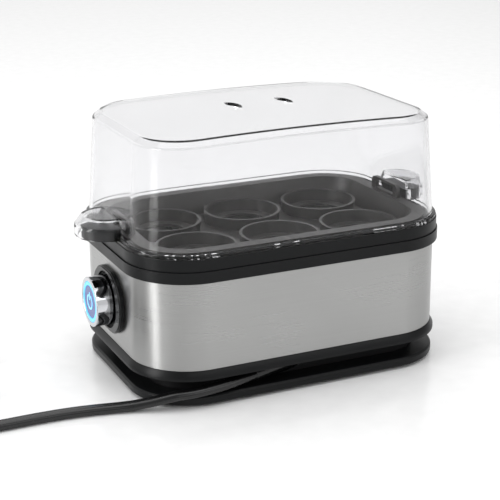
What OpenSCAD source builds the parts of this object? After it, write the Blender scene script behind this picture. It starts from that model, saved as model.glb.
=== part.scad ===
// Six-egg steam cooker: a heated base with a brushed steel band, an egg tray
// that lifts out, a clear lid and a lit push button on the left end.
// Millimetres, +Z up, length along X, the button at -X, the front at -Y.
// The origin is on the table under the middle of the cooker.

/* [Egg tray] */
// Egg columns along the length
seat_cols = 3; // [2:1:4]
// Egg rows across the width
seat_rows = 2; // [1:1:3]
// Distance between neighbouring egg centres
seat_pitch = 48; // [46:0.5:58]
// Outer diameter of one egg cup
seat_d = 43; // [36:0.5:45]
// Height of the egg cups above the tray floor
seat_h = 6.5; // [4:0.5:9]
// Hole in the bottom of each cup, which lets the steam up
seat_hole_d = 26; // [16:0.5:32]
// Wall of the moulded tray
tray_t = 1.6; // [1.2:0.1:2.4]
// Depth of the tray basin below its rim
basin_depth = 11; // [8:0.5:12]
// Half width of a tray handle
grip_half = 14; // [12:0.5:18]
// Height of a tray handle above the rim
grip_h = 7.2; // [6.8:0.1:7.4]

/* [Body] */
// From the end cup to the end face of the steel band
end_margin = 18; // [17:0.5:26]
// From the side cup to the long face of the steel band
side_margin = 15.5; // [15.5:0.5:22]
// Corner radius of the steel band
corner_r = 32.5; // [30:0.5:36]
// Height of the visible steel band
band_h = 47.2; // [44:0.2:60]
// Sheet thickness of the steel band
band_t = 0.6; // [0.4:0.1:1]
// Height of the bezel ring above the steel
bezel_h = 6; // [5:0.5:8]
// Height of the deck ring that carries the tray and the lid
deck_h = 6.5; // [5:0.5:9]
// How far the bezel ring stands proud of the steel
bezel_proud = 2.4; // [1.8:0.1:3.5]
// How far the deck ring stands proud of the steel
deck_proud = 1.7; // [1.5:0.1:3]
// Radius of the ears at the two ends of the deck ring
ear_r = 13.5; // [11:0.5:14]
// Height of the ears above the deck
ear_h = 5.5; // [5:0.5:8]

/* [Base] */
// Gap between the table and the base plate
foot_gap = 1; // [0.6:0.1:2]
// Thickness of the base plate's rim
plate_h = 5; // [4:0.5:7]
// Height of the groove in which the cord is wound
groove_h = 8.8; // [8.6:0.1:12]
// Depth of that groove, from the steel's outline to the drum
groove_depth = 10; // [9:0.5:12]
// Height of the lower housing ring under the steel
skirt_h = 5; // [4:0.5:7]
// How far the lower housing ring stands proud of the steel
skirt_proud = 1.8; // [1.2:0.1:3]
// How far the base plate stands proud of the steel
plate_proud = 1; // [0.5:0.1:2]

/* [Lid] */
// Height of the lid's upright wall, from its rim to the slanted edge
lid_h = 54.2; // [50:0.2:70]
// Wall of the clear lid
lid_t = 1.8; // [1.4:0.1:2.4]
// How far the wall leans in over its height
lid_lean = 4.1; // [3:0.1:6]
// Height of the slanted edge round the top
lid_slant_h = 3; // [2:0.5:5]
// Width of that slanted edge
lid_slant_w = 4; // [3:0.5:6]
// Rise of the top between its ends and its middle
lid_crown = 1.8; // [1:0.1:3]
// Radius of the two hollow handles of the lid
hood_r = 17.2; // [16.5:0.1:19]
// Height of the handles above the rim
hood_h = 11; // [10:0.5:16]
// Width of a steam slot
vent_w = 5; // [4.6:0.1:7]
// Length of a steam slot
vent_l = 14; // [12:0.5:20]

/* [Button] */
// Height of the button's axis above the table
button_z = 43; // [41:0.5:48]
// Diameter of the chrome barrel
button_d = 26.8; // [24:0.1:27]
// How far the button stands out of the steel
button_out = 12; // [9:0.5:13]
// Travel of the button
button_travel = 3; // [1:0.5:3]
// Width of the oval surround
surround_w = 43; // [38:0.5:48]
// Height of the oval surround
surround_h = 34.4; // [34:0.1:38]
// Radial clearance of the sliding pieces
slide_gap = 0.05; // [0.03:0.01:0.08]

/* [Cord] */
// Width of the flat mains lead
cord_w = 6.8; // [6:0.1:7]
// Thickness of the flat mains lead
cord_t = 4.6; // [4.2:0.1:5]

/* [Hidden] */
$fn = 72;
eps = 0.01;
body_l = (seat_cols - 1) * seat_pitch + seat_d + 2 * end_margin;
body_w = (seat_rows - 1) * seat_pitch + seat_d + 2 * side_margin;
half_l = body_l / 2;
half_w = body_w / 2;
// Centres of the four corner arcs, which every outline shares
cx = half_l - corner_r;
cy = half_w - corner_r;

// Levels, from the table up
plate_z = foot_gap;
drum_z = plate_z + plate_h;
skirt_z = drum_z + groove_h;
band_z = skirt_z + skirt_h;
bezel_z = band_z + band_h;
bezel_lip = 2;
shelf_z = bezel_z + bezel_lip;
deck_z = bezel_z + bezel_h;
rim_z = deck_z + deck_h;

// Lower housing
floor_t = 2.2;
floor_top = skirt_z + floor_t;
skirt_round = 2.8;
skirt_slim = 0.2;
locator_h = 2;
locator_t = 2;
fit_gap = 0.05;

// Posts in the corners, midway between the dish and the steel
post_d = 6.8;
post_k = 19.4;
post_xy = [cx + post_k, cy + post_k];
post_z = band_z + locator_h + 0.2;
boss_d = 8;
post_screw_l = 16;
post_bore_l = 18;
screw_d = 3;
screw_hole_d = 3.4;
head_d = 5.6;
head_h = 1.8;
head_seat = 3.2;
head_gap = 0.8;

// Dish and seal
dish_t = 0.8;
dish_floor_t = 1.2;
dish_open = -10.3;
dish_lean = 6;
dish_depth = 12.2;
dish_lip = -5.5;
shelf_in = -7.5;
seal_h = 0.8;
seal_in = -9;
dish_top = deck_z - seal_h;
dish_under = dish_top - dish_depth - dish_floor_t;
deck_open = -10;

// Heating rod under the dish
rod_r = 3.3;
rod_z = dish_under - rod_r;
rod_y = half_w - 39;
rod_bend_x = half_l - 49.5;
rod_end_x = -(half_l - 37.5);
rod_pin_d = 3;
rod_pin_l = 8;
strap_w = 14;
strap_t = 1.5;
strap_z = rod_z - rod_r - strap_t;
strap_half = rod_y + rod_r + 4;
stud_d = 4;
stud_gap = 0.2;
stud_y = 12;
stud_l = dish_under - strap_z + 5;
nut_d = 8;
nut_h = 3.2;
stat_x = 26;
stat_d = 16;
stat_h = 8;
tab_w = 6.4;
tab_t = 0.8;
tab_l = 6;
tab_y = 4;
fuse_x = -24;
fuse_d = 4;
fuse_l = 12;
sleeve_t = 0.8;
fuse_wire_d = 1;
fuse_wire_l = 6;

// Heat shield and its posts
shield_z = 38;
shield_t = 0.8;
shield_in = -28.5;
shield_rim = 5;
wire_hole_d = 6;
prop_d = 7;
prop_xy = [cx - 6, cy - 2];

// Base
plate_edge = 0.9;
plate_web = 2.2;
drum_t = 2;
foot_d = 13;
foot_h = 2.4;
foot_boss_d = 17;
foot_recess = foot_h - foot_gap;
stay_d = 8;
stay_boss_d = 10;
stay_xy = [cx - 22, cy];
stay_h = 9;
stay_screw_l = stay_h - 3;
stay_bore_l = stay_h - 2;
stay_screw_z = drum_z - plate_web;
stay_rib = 2;

// Tray
tray_rim = -5.3;
tray_open = -10.7;
basin_lean = 3.5;
basin_z = rim_z - basin_depth;
cup_flare = 0.75;
cup_t = 1.5;
grip_t = 2.4;
grip_x = half_l - 7.3;
grip_round = 3.5;
grip_bar = 1.5;
grip_side = 4.4;
grip_sill = 1.2;

// Lid
lid_proud = 1.2;
lid_foot = -0.5;
flange_h = 2;
hood_x = half_l + 0.5;
hood_wall_h = 6;
hood_top_r = 13.5;
slant_z = rim_z + lid_h;
slant_top = slant_z + lid_slant_h;
lid_top = slant_top + lid_crown;
top_half = half_l + lid_foot - lid_lean - lid_slant_w;
crown_r = (top_half * top_half + lid_crown * lid_crown) / (2 * lid_crown);
crown_fn = 720;
vent_gap = 30;
vent_mid = [4, 10];
vent_turn = 12;
vent_arc = (vent_l * vent_l + vent_w * vent_w) / (4 * vent_w);
ear_x = half_l - 3.2;

// Button, along -X from the steel's end face
face_x = -half_l;
button_x = face_x - button_out;
barrel_r = button_d / 2;
barrel_t = 2.4;
ring_gap = 0.05;
ring_out = barrel_r - barrel_t - ring_gap;
ring_w = 2.05;
ring_in = ring_out - ring_w;
ring_depth = 5;
ring_drop = 0.2;
cap_r = ring_in - 2 * ring_gap;
cap_drop = 0.4;
mark_r = 4.2;
mark_line = 1;
mark_t = 0.25;
barrel_back = face_x + 1;
stem_r = 4;
stem_l = 8.5;
stem_way = 1;
guide_t = 1.2;
guide_in = 5;
surround_t = 2.8;
surround_step = 0.6;
mouth_r = 15.4;
mouth_depth = 2.2;
nut_ring_r = 19;
nut_ring_t = 3;
board_gap = 1.9;
board_x = barrel_back + button_travel + board_gap;
board_t = 1.6;
board_r = 12.5;
board_hole_r = 7.6;
led_size = 1.6;
led_h = 0.8;
led_ring_r = 10.2;
bracket_x = board_x + board_t;
bracket_t = 1.2;
bracket_half = 13;
bracket_foot = 14;
switch_x = bracket_x + bracket_t;
switch_l = 18;
switch_half = 8;
switch_h = 20;
switch_bore_l = 10;
spring_r = 5.7;
spring_wire = 0.8;
spring_turns = 4;
spring_l = board_gap + board_t - 0.1;
spring_x = bracket_x - spring_l;

// Terminal block and cord clamp on the housing floor
block_at = [14, -half_w + 35];
block_size = [30, 15, 13];
block_way = 9;
block_way_d = 4.4;
block_way_l = 5;
lead_hole = [16, -half_w + 26.5];
lead_hole_d = 8;
clamp_size = [20, 12, 6];
clamp_hole_d = 7.4;
clamp_screw_gap = 7.5;
clamp_screw_d = 2.6;
clamp_head_d = 4.6;
inner_w = 5.4;
inner_t = 4;
wire_d = 2.2;
wire_gap = 0.5;

// Gland: it leaves the drum at a slant, so that the cord lies along the groove
gland_at = [0, -half_w + 15, drum_z + groove_h / 2];
gland_turn = 198;
gland_r = 4.2;
gland_in = 8;
gland_out = 24;
gland_tip_r = 3.55;

// Free route of the mains lead, from the tip of the gland to the coil
lead_route = [
    [-30.4, -55.9, 10.4], [-38, -58.2, 10.2], [-46, -59.8, 9.8], [-54, -60.7, 9.3],
    [-62, -60.8, 8.8], [-68, -60.2, 8.4], [-74, -58.6, 7.9], [-80, -56.2, 6.4],
    [-86, -53.6, 4.8], [-92, -51, 3.5], [-98, -48.8, 2.7], [-105, -46.8, 2.4],
    [-113, -45, 2.35], [-121, -43.6, 2.35], [-131, -42.5, 2.35], [-143, -42, 2.35],
    [-157, -42, 2.35], [-172, -42, 2.35], [-187, -42, 2.35], [-202, -42, 2.35]
];
// From the coil to the plug
tail_route = [
    [-252.5, -4.5, 12.9], [-252.3, 4, 12.2], [-251, 13, 10], [-248.4, 21.5, 7],
    [-244, 30, 4.4], [-238, 38, 3.2], [-231, 44.5, 3.6], [-223, 48.6, 5.6],
    [-214, 50, 7]
];
coil_at = [-215, -4.5];
coil_r = 37.5;
coil_half = 3.9;
coil_turns = 2.25;
coil_rise = 4.7;
coil_h = coil_turns * coil_rise + cord_t;
plug_at = [-214, 50, 7];
plug_sleeve_l = 14;
plug_sleeve_r = 5.4;
plug_l = 35;
plug_w = 35;
plug_t = 13.8;
plug_neck = 14;
plug_waist = 13;
plug_face = 30;
pin_d = 4;
pin_l = 19;
pin_gap = 18.6;
pin_tip_d = 2.6;
tie_w = 9;
tie_t = 0.8;
tie_gap = 0.3;

// ---- Shapes that repeat ----

// The cooker's outline, grown or shrunk evenly
module outline(grow) {
    square([2 * cx, 2 * (cy + corner_r + grow)], center = true);
    square([2 * (cx + corner_r + grow), 2 * cy], center = true);
    for (sx = [-1, 1], sy = [-1, 1])
        translate([sx * cx, sy * cy]) circle(corner_r + grow);
}

// A slab of that outline
module slab(grow, z, h) {
    translate([0, 0, z]) linear_extrude(h) outline(grow);
}

// A ring between two outlines
module ring(outer, inner, z, h) {
    difference() {
        slab(outer, z, h);
        slab(inner, z - eps, h + 2 * eps);
    }
}

// A slab whose sides lean from one outline to another
module leaning(grow0, grow1, z, h) {
    r0 = corner_r + grow0;
    r1 = corner_r + grow1;
    translate([-cx, 0, z]) rotate([90, 0, 90]) linear_extrude(2 * cx)
        polygon([[-cy - r0, 0], [cy + r0, 0], [cy + r1, h], [-cy - r1, h]]);
    translate([0, cy, z]) rotate([90, 0, 0]) linear_extrude(2 * cy)
        polygon([[-cx - r0, 0], [cx + r0, 0], [cx + r1, h], [-cx - r1, h]]);
    for (sx = [-1, 1], sy = [-1, 1])
        translate([sx * cx, sy * cy, z]) cylinder(r1 = r0, r2 = r1, h = h);
}

// The same thing in each of the four corners
module four(xy) {
    for (sx = [-1, 1], sy = [-1, 1])
        translate([sx * xy[0], sy * xy[1], 0]) children();
}

// A cylinder along X, from x0 to x1, on the button's axis
module along_x(x0, x1, r) {
    translate([x0, 0, button_z]) rotate([0, 90, 0]) cylinder(r = r, h = x1 - x0);
}

// A pan-head screw that points up, with the underside of its head at z
module screw_up(z, length) {
    translate([0, 0, z - head_h]) cylinder(d = head_d, h = head_h);
    translate([0, 0, z - eps]) cylinder(d = screw_d, h = length + eps);
}

function unit(v) = v / norm(v);
function heading(p, i) = unit(p[min(i + 1, len(p) - 1)] - p[max(i - 1, 0)]);
function side_of(d) = unit(cross([0, 0, 1], d));
// Catmull-Rom point between p[i] and p[i + 1]
function knot(p, i) =
    i < 0 ? 2 * p[0] - p[1] :
    i > len(p) - 1 ? 2 * p[len(p) - 1] - p[len(p) - 2] : p[i];
function between(p, i, t) =
    0.5 * (2 * knot(p, i) + (knot(p, i + 1) - knot(p, i - 1)) * t
    + (2 * knot(p, i - 1) - 5 * knot(p, i) + 4 * knot(p, i + 1) - knot(p, i + 2)) * t * t
    + (3 * knot(p, i) - knot(p, i - 1) - 3 * knot(p, i + 1) + knot(p, i + 2)) * t * t * t);
function smooth_route(p, steps) =
    [for (i = [0 : len(p) - 2], s = [0 : steps - 1]) between(p, i, s / steps), p[len(p) - 1]];

// A tube of oval section along a list of points, as one closed polyhedron
module tube(p, w, t, sides) {
    n = len(p);
    rings = [for (i = [0 : n - 1])
        let (d = heading(p, i), s = side_of(d), u = cross(d, s))
        for (k = [0 : sides - 1])
            let (a = 360 * k / sides) p[i] + s * w / 2 * cos(a) + u * t / 2 * sin(a)];
    skin = [for (i = [0 : n - 2], k = [0 : sides - 1])
        let (a = i * sides + k, b = i * sides + (k + 1) % sides)
        [a, a + sides, b + sides, b]];
    first = [for (k = [0 : sides - 1]) k];
    last = [for (k = [sides - 1 : -1 : 0]) (n - 1) * sides + k];
    polyhedron(rings, concat(skin, [first], [last]), convexity = 6);
}

// ---- Base ----

module foot_pads() color("#1c1c1d")
    four([cx, cy]) {
        cylinder(d1 = foot_d - 1, d2 = foot_d, h = foot_gap);
        translate([0, 0, foot_gap]) cylinder(d = foot_d - 2 * fit_gap, h = foot_recess);
    }

module base_plate() color("#232425")
    difference() {
        union() {
            leaning(plate_proud - plate_edge, plate_proud, plate_z, plate_edge);
            slab(plate_proud, plate_z + plate_edge, plate_h - 2 * plate_edge);
            leaning(plate_proud, plate_proud - plate_edge, drum_z - plate_edge, plate_edge);
        }
        difference() {
            slab(plate_proud - plate_web - 1, plate_z - eps, plate_h - plate_web);
            four([cx, cy]) cylinder(d = foot_boss_d, h = drum_z);
            four(stay_xy) cylinder(d = stay_boss_d, h = drum_z);
        }
        four([cx, cy]) translate([0, 0, plate_z - eps]) cylinder(d = foot_d, h = foot_recess + eps);
        four(stay_xy) cylinder(d = screw_hole_d, h = drum_z + eps);
        four(stay_xy) cylinder(d = head_d + head_gap, h = stay_screw_z);
    }

module base_screws() color("#a8aaac")
    four(stay_xy) screw_up(stay_screw_z, skirt_z - stay_screw_z + stay_screw_l);

// The gland's axis, which the gland and its hole in the drum share
module gland_axis() {
    translate(gland_at) rotate([0, 0, gland_turn]) rotate([0, 90, 0]) children();
}

module cord_drum() color("#1d1e1f")
    difference() {
        union() {
            ring(-groove_depth, -groove_depth - drum_t, drum_z, groove_h);
            four(stay_xy) translate([0, 0, drum_z]) cylinder(d = stay_d, h = groove_h);
            for (sx = [-1, 1], sy = [-1, 1])
                translate([sx * stay_xy[0] - stay_rib / 2,
                    sy > 0 ? stay_xy[1] : -half_w + groove_depth + drum_t / 2, drum_z])
                    cube([stay_rib, half_w - groove_depth - drum_t / 2 - stay_xy[1], groove_h]);
        }
        four(stay_xy) translate([0, 0, drum_z - eps])
            cylinder(d = screw_hole_d, h = groove_h + 2 * eps);
        gland_axis() cylinder(r = gland_r + fit_gap, h = gland_in + gland_out);
    }

module lower_housing() color("#232425")
    difference() {
        union() {
            difference() {
                union() {
                    slab(skirt_proud, skirt_z, skirt_h - skirt_round);
                    leaning(skirt_proud, skirt_slim, band_z - skirt_round, skirt_round);
                    slab(-band_t - fit_gap, band_z - eps, locator_h + eps);
                }
                slab(-band_t - locator_t, floor_top, skirt_h + locator_h);
            }
            four(post_xy) translate([0, 0, skirt_z]) cylinder(d = boss_d, h = post_z - skirt_z);
            four(prop_xy) translate([0, 0, skirt_z]) cylinder(d = prop_d, h = shield_z - skirt_z);
            four(stay_xy) translate([0, 0, skirt_z]) cylinder(d = stay_d, h = stay_h);
        }
        four(post_xy) translate([0, 0, skirt_z - eps])
            cylinder(d = head_d + head_gap, h = head_seat + eps);
        four(post_xy) translate([0, 0, skirt_z]) cylinder(d = screw_hole_d, h = post_z);
        four(stay_xy) translate([0, 0, skirt_z - eps]) cylinder(d = screw_d, h = stay_bore_l);
        translate([lead_hole[0], lead_hole[1], skirt_z - eps])
            cylinder(d = lead_hole_d, h = floor_t + 2 * eps);
    }

module housing_screws() color("#a8aaac")
    four(post_xy) screw_up(skirt_z + head_seat, post_screw_l);

// ---- Steel band and the rings above it ----

module steel_band() color("#b4b6b8")
    difference() {
        ring(0, -band_t, band_z, band_h + bezel_lip);
        along_x(face_x - 1, face_x + 3, barrel_r + slide_gap + guide_t + fit_gap);
    }

module bezel_ring() color("#232425") {
    difference() {
        slab(bezel_proud, bezel_z, bezel_h);
        slab(fit_gap, bezel_z - eps, bezel_lip + eps);
        slab(shelf_in, bezel_z, bezel_h);
        slab(dish_lip + fit_gap, dish_top - dish_t, bezel_h);
    }
    difference() {
        four(post_xy) translate([0, 0, post_z]) cylinder(d = post_d, h = shelf_z - post_z + eps);
        four(post_xy) translate([0, 0, post_z - eps]) cylinder(d = screw_d, h = post_bore_l);
    }
}

module ear(side) {
    root = 0.5;
    intersection() {
        translate([side * hood_x, 0, rim_z - root]) cylinder(r = ear_r, h = ear_h + root);
        translate([side > 0 ? ear_x : -ear_x - 2 * ear_r, -ear_r, rim_z - root])
            cube([2 * ear_r, 2 * ear_r, ear_h + root]);
    }
}

module deck_ring() color("#232425") {
    ring(deck_proud, deck_open, deck_z, deck_h);
    ear(-1);
    ear(1);
}

module dish_seal() color("#8b2f28")
    ring(dish_lip, seal_in, dish_top, seal_h);

// ---- Heating ----

module heating_dish() color("#8f9193")
    difference() {
        union() {
            leaning(dish_open - dish_lean + dish_t, dish_open + dish_t, dish_under,
                dish_depth + dish_floor_t);
            slab(dish_lip, dish_top - dish_t, dish_t);
        }
        leaning(dish_open - dish_lean, dish_open, dish_under + dish_floor_t, dish_depth + eps);
    }

module heating_rod() color("#6d6f70") {
    for (s = [-1, 1]) {
        translate([rod_end_x, s * rod_y, rod_z]) rotate([0, 90, 0])
            cylinder(r = rod_r, h = rod_bend_x - rod_end_x);
        translate([rod_end_x - rod_pin_l, s * rod_y, rod_z]) rotate([0, 90, 0])
            cylinder(d = rod_pin_d, h = rod_pin_l + eps);
    }
    translate([rod_bend_x, 0, rod_z]) rotate([0, 0, -90])
        rotate_extrude(angle = 180) translate([rod_y, 0]) circle(rod_r);
}

module rod_strap() color("#9a9c9e") {
    difference() {
        translate([-strap_w / 2, -strap_half, strap_z]) cube([strap_w, 2 * strap_half, strap_t]);
        for (s = [-1, 1])
            translate([0, s * stud_y, strap_z - eps])
                cylinder(d = stud_d + 2 * stud_gap, h = strap_t + 1);
    }
}

module strap_nuts() color("#a8aaac")
    for (s = [-1, 1]) translate([0, s * stud_y, 0]) {
        translate([0, 0, dish_under - stud_l]) cylinder(d = stud_d, h = stud_l);
        difference() {
            translate([0, 0, strap_z - nut_h]) cylinder(d = nut_d, h = nut_h, $fn = 6);
            translate([0, 0, strap_z - nut_h - eps]) cylinder(d = stud_d - eps, h = nut_h + 1);
        }
    }

module thermostat() color("#3a2d26") {
    translate([stat_x, 0, dish_under - 1]) cylinder(d = stat_d + 4, h = 1);
    translate([stat_x, 0, dish_under - stat_h]) cylinder(d = stat_d, h = stat_h - 1 + eps);
    for (s = [-1, 1])
        translate([stat_x - tab_w / 2, s * tab_y - tab_t / 2, dish_under - stat_h - tab_l])
            cube([tab_w, tab_t, tab_l + eps]);
}

module thermal_fuse() color("#d8d3c4")
    translate([fuse_x, 0, dish_under - fuse_d / 2 - sleeve_t]) rotate([0, 90, 0]) {
        cylinder(d = fuse_d + 2 * sleeve_t, h = fuse_l, center = true);
        cylinder(d = fuse_wire_d, h = fuse_l + 2 * fuse_wire_l, center = true);
    }

module heat_shield() color("#b9bbbd")
    difference() {
        union() {
            slab(shield_in, shield_z, shield_t);
            ring(shield_in, shield_in - shield_t, shield_z, shield_rim);
        }
        for (s = [-1, 1]) translate([rod_end_x - rod_pin_l / 2, s * rod_y, shield_z - eps])
            cylinder(d = wire_hole_d, h = shield_t + 1);
    }

// ---- Wiring ----

module terminal_block() color("#e9e4d6")
    difference() {
        translate([block_at[0] - block_size[0] / 2, block_at[1], floor_top]) cube(block_size);
        for (k = [-1 : 1])
            translate([block_at[0] + k * block_way, block_at[1] + block_size[1] / 2,
                floor_top + block_size[2] - block_way_l]) cylinder(d = block_way_d, h = 2 * block_way_l);
    }

module cord_clamp() color("#2b2c2e")
    difference() {
        translate([lead_hole[0] - clamp_size[0] / 2, lead_hole[1] - clamp_size[1] / 2, floor_top])
            cube(clamp_size);
        translate([lead_hole[0], lead_hole[1], floor_top - eps])
            cylinder(d = clamp_hole_d, h = clamp_size[2] + 2 * eps);
        for (s = [-1, 1])
            translate([lead_hole[0] + s * clamp_screw_gap, lead_hole[1], floor_top - eps])
                cylinder(d = clamp_screw_d + 2 * fit_gap, h = clamp_size[2] + 2 * eps);
    }

module clamp_screws() color("#a8aaac")
    for (s = [-1, 1])
        translate([lead_hole[0] + s * clamp_screw_gap, lead_hole[1], floor_top]) {
            cylinder(d = clamp_screw_d, h = clamp_size[2] + eps);
            translate([0, 0, clamp_size[2]]) cylinder(d = clamp_head_d, h = head_h);
        }

// The lead from the gland, up through the floor and the clamp, to the block
module inner_lead() color("#1b1b1c") {
    x = lead_hole[0];
    y = lead_hole[1];
    tube(smooth_route([
        [1, gland_at[1] + 0.5, gland_at[2]], [6, gland_at[1] + 2.5, gland_at[2]],
        [x - 5, y - 5.5, gland_at[2] + 0.5], [x - 1.5, y - 2.3, gland_at[2] + 2.2],
        [x - 0.2, y - 0.4, floor_top - 1], [x, y + 0.2, floor_top + 4],
        [x, y + 1.3, floor_top + 7.5], [x - 0.5, y + 4, floor_top + 9.4],
        [x - 1, block_at[1] - wire_gap, floor_top + 9.8]], 3), inner_w, inner_t, 10);
}

module live_wire() color("#6b3f22")
    tube(smooth_route([
        [block_at[0] - block_way, block_at[1] + block_size[1], floor_top + 6],
        [block_at[0] - 12, block_at[1] + block_size[1] + 6, floor_top + 5],
        [-20, -2, floor_top + 5], [-44, 0, floor_top + 8],
        [switch_x + switch_l + wire_gap, 0, button_z - 6]], 5), wire_d, wire_d, 8);

module neutral_wire() color("#2c4f8c")
    tube(smooth_route([
        [block_at[0] + block_way, block_at[1] + block_size[1], floor_top + 6],
        [block_at[0] + block_way + 3, block_at[1] + block_size[1] + 12, floor_top + 5],
        [block_at[0] + 4, rod_y - 5, floor_top + 5], [-20, rod_y - 4, floor_top + 6],
        [rod_end_x + 2, rod_y - 1, shield_z - 9], [rod_end_x - 4, rod_y, shield_z],
        [rod_end_x - 5, rod_y, rod_z - rod_pin_d / 2 - wire_d / 2]], 4), wire_d, wire_d, 8);

// ---- Button ----

module oval(w, h) {
    square([w - h, h], center = true);
    for (s = [-1, 1]) translate([s * (w - h) / 2, 0]) circle(h / 2);
}

// An outline drawn as [y, z], extruded along X
module extrude_x(x0, x1) {
    translate([x0, 0, button_z]) rotate([90, 0, 90]) linear_extrude(x1 - x0) children();
}

module surround() color("#1f2021")
    difference() {
        union() {
            extrude_x(face_x - surround_t, face_x)
                oval(surround_w - 2 * surround_step, surround_h - 2 * surround_step);
            extrude_x(face_x - surround_t + surround_step, face_x) oval(surround_w, surround_h);
            along_x(face_x - eps, face_x + guide_in, barrel_r + slide_gap + guide_t);
        }
        along_x(face_x - surround_t - eps, face_x - surround_t + mouth_depth, mouth_r);
        along_x(face_x - surround_t, face_x + guide_in + eps, barrel_r + slide_gap);
    }

module surround_nut() color("#2a2b2c")
    difference() {
        along_x(face_x + band_t, face_x + band_t + nut_ring_t, nut_ring_r);
        along_x(face_x, face_x + 2 * nut_ring_t, barrel_r + slide_gap + guide_t + fit_gap);
    }

module button_barrel() color("#dfe1e3")
    difference() {
        along_x(button_x, barrel_back, barrel_r);
        along_x(button_x - eps, barrel_back + eps, barrel_r - barrel_t);
    }

module button_core() color("#2b2c2e") {
    along_x(button_x + ring_depth, barrel_back, barrel_r - barrel_t);
    along_x(barrel_back - eps, barrel_back + stem_l, stem_r);
}

module light_ring() color("#7fd8ff")
    difference() {
        along_x(button_x + ring_drop, button_x + ring_depth, ring_out);
        along_x(button_x, button_x + ring_depth + eps, ring_in);
    }

module button_cap() color("#8fa6d8")
    along_x(button_x + cap_drop, button_x + ring_depth, cap_r);

// The standby mark: an open circle with a bar in its gap
module power_mark() color("#bfe6ff")
    extrude_x(button_x + cap_drop - mark_t, button_x + cap_drop) {
        difference() {
            circle(mark_r);
            circle(mark_r - mark_line);
            translate([-1.5 * mark_line, 0]) square([3 * mark_line, 2 * mark_r]);
        }
        translate([-mark_line / 2, mark_line]) square([mark_line, mark_r]);
    }

module switch_bracket() color("#a8aaac")
    difference() {
        union() {
            translate([bracket_x, -bracket_half, floor_top])
                cube([bracket_t, 2 * bracket_half, button_z + bracket_half - floor_top]);
            translate([bracket_x, -bracket_half, floor_top])
                cube([bracket_foot, 2 * bracket_half, bracket_t]);
        }
        along_x(bracket_x - 1, bracket_x + bracket_t + 1, stem_r + stem_way);
    }

module switch_body() color("#1b1b1c")
    difference() {
        translate([switch_x, -switch_half, button_z - switch_h / 2])
            cube([switch_l, 2 * switch_half, switch_h]);
        along_x(switch_x - eps, switch_x + switch_bore_l, stem_r + slide_gap);
    }

module led_board() color("#2c6b43")
    difference() {
        along_x(board_x, board_x + board_t, board_r);
        along_x(board_x - eps, board_x + board_t + eps, board_hole_r);
    }

module leds() color("#e8f4ff")
    for (k = [0 : 3]) let (a = 45 + 90 * k)
        translate([board_x - led_h, led_ring_r * cos(a) - led_size / 2,
            button_z + led_ring_r * sin(a) - led_size / 2])
            cube([led_h, led_size, led_size]);

module return_spring() color("#c9cbcd") {
    pitch = (spring_l - spring_wire) / (spring_turns - 1);
    for (k = [0 : spring_turns - 1])
        translate([spring_x + spring_wire / 2 + k * pitch, 0, button_z]) rotate([0, 90, 0])
            rotate_extrude() translate([spring_r, 0]) circle(d = spring_wire);
}

// ---- Tray ----

module cup() {
    rotate_extrude() polygon([
        [seat_d / 2 - cup_flare - cup_t, 0], [seat_d / 2 - cup_flare, 0],
        [seat_d / 2, seat_h], [seat_d / 2 - cup_t, seat_h]]);
}

module seats() {
    for (i = [0 : seat_cols - 1], j = [0 : seat_rows - 1])
        translate([(i - (seat_cols - 1) / 2) * seat_pitch,
                   (j - (seat_rows - 1) / 2) * seat_pitch, basin_z]) children();
}

module grip(side) {
    translate([side > 0 ? grip_x - grip_t : -grip_x, 0, rim_z]) rotate([90, 0, 90])
        linear_extrude(grip_t) difference() {
            union() {
                translate([-grip_half, 0]) square([2 * grip_half, tray_t + grip_h - grip_round]);
                translate([-grip_half + grip_round, 0])
                    square([2 * (grip_half - grip_round), tray_t + grip_h]);
                for (s = [-1, 1]) translate([s * (grip_half - grip_round),
                    tray_t + grip_h - grip_round]) circle(grip_round);
            }
            translate([-grip_half + grip_side, tray_t + grip_sill])
                square([2 * (grip_half - grip_side), grip_h - grip_sill - grip_bar]);
        }
}

module egg_tray() color("#4b4a48") {
    difference() {
        union() {
            slab(tray_rim, rim_z, tray_t);
            leaning(tray_open - basin_lean, tray_open, basin_z - tray_t, basin_depth + tray_t);
        }
        leaning(tray_open - basin_lean - tray_t, tray_open - tray_t, basin_z,
            basin_depth + tray_t + eps);
        seats() translate([0, 0, -2 * tray_t]) cylinder(d = seat_hole_d, h = 4 * tray_t);
    }
    seats() cup();
    grip(-1);
    grip(1);
}

// ---- Lid ----

module crown(r, top) {
    translate([0, half_w, top - r]) rotate([90, 0, 0]) cylinder(r = r, h = 2 * half_w, $fn = crown_fn);
}

module lid_shape(shrink, foot_z) {
    wall_lean = lid_lean / lid_h;
    leaning(lid_foot - shrink - wall_lean * (foot_z - rim_z), lid_foot - shrink - lid_lean,
        foot_z, slant_z - foot_z - shrink / 2);
    slant_rate = lid_slant_w / lid_slant_h;
    intersection() {
        leaning(lid_foot - shrink - lid_lean,
            lid_foot - shrink - lid_lean - slant_rate * (lid_top - slant_z),
            slant_z - shrink / 2 - eps, lid_top - slant_z);
        crown(crown_r - shrink, lid_top - shrink);
    }
}

module hood(side, shrink, foot_z) {
    translate([side * hood_x, 0, foot_z])
        cylinder(r = hood_r - shrink, h = rim_z + hood_wall_h - foot_z);
    translate([side * hood_x, 0, rim_z + hood_wall_h - eps])
        cylinder(r1 = hood_r - shrink, r2 = hood_top_r - shrink, h = hood_h - hood_wall_h - shrink);
}

// A pointed oval slot
module leaf() {
    intersection() {
        translate([vent_arc - vent_w / 2, 0]) circle(vent_arc);
        translate([-vent_arc + vent_w / 2, 0]) circle(vent_arc);
    }
}

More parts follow.
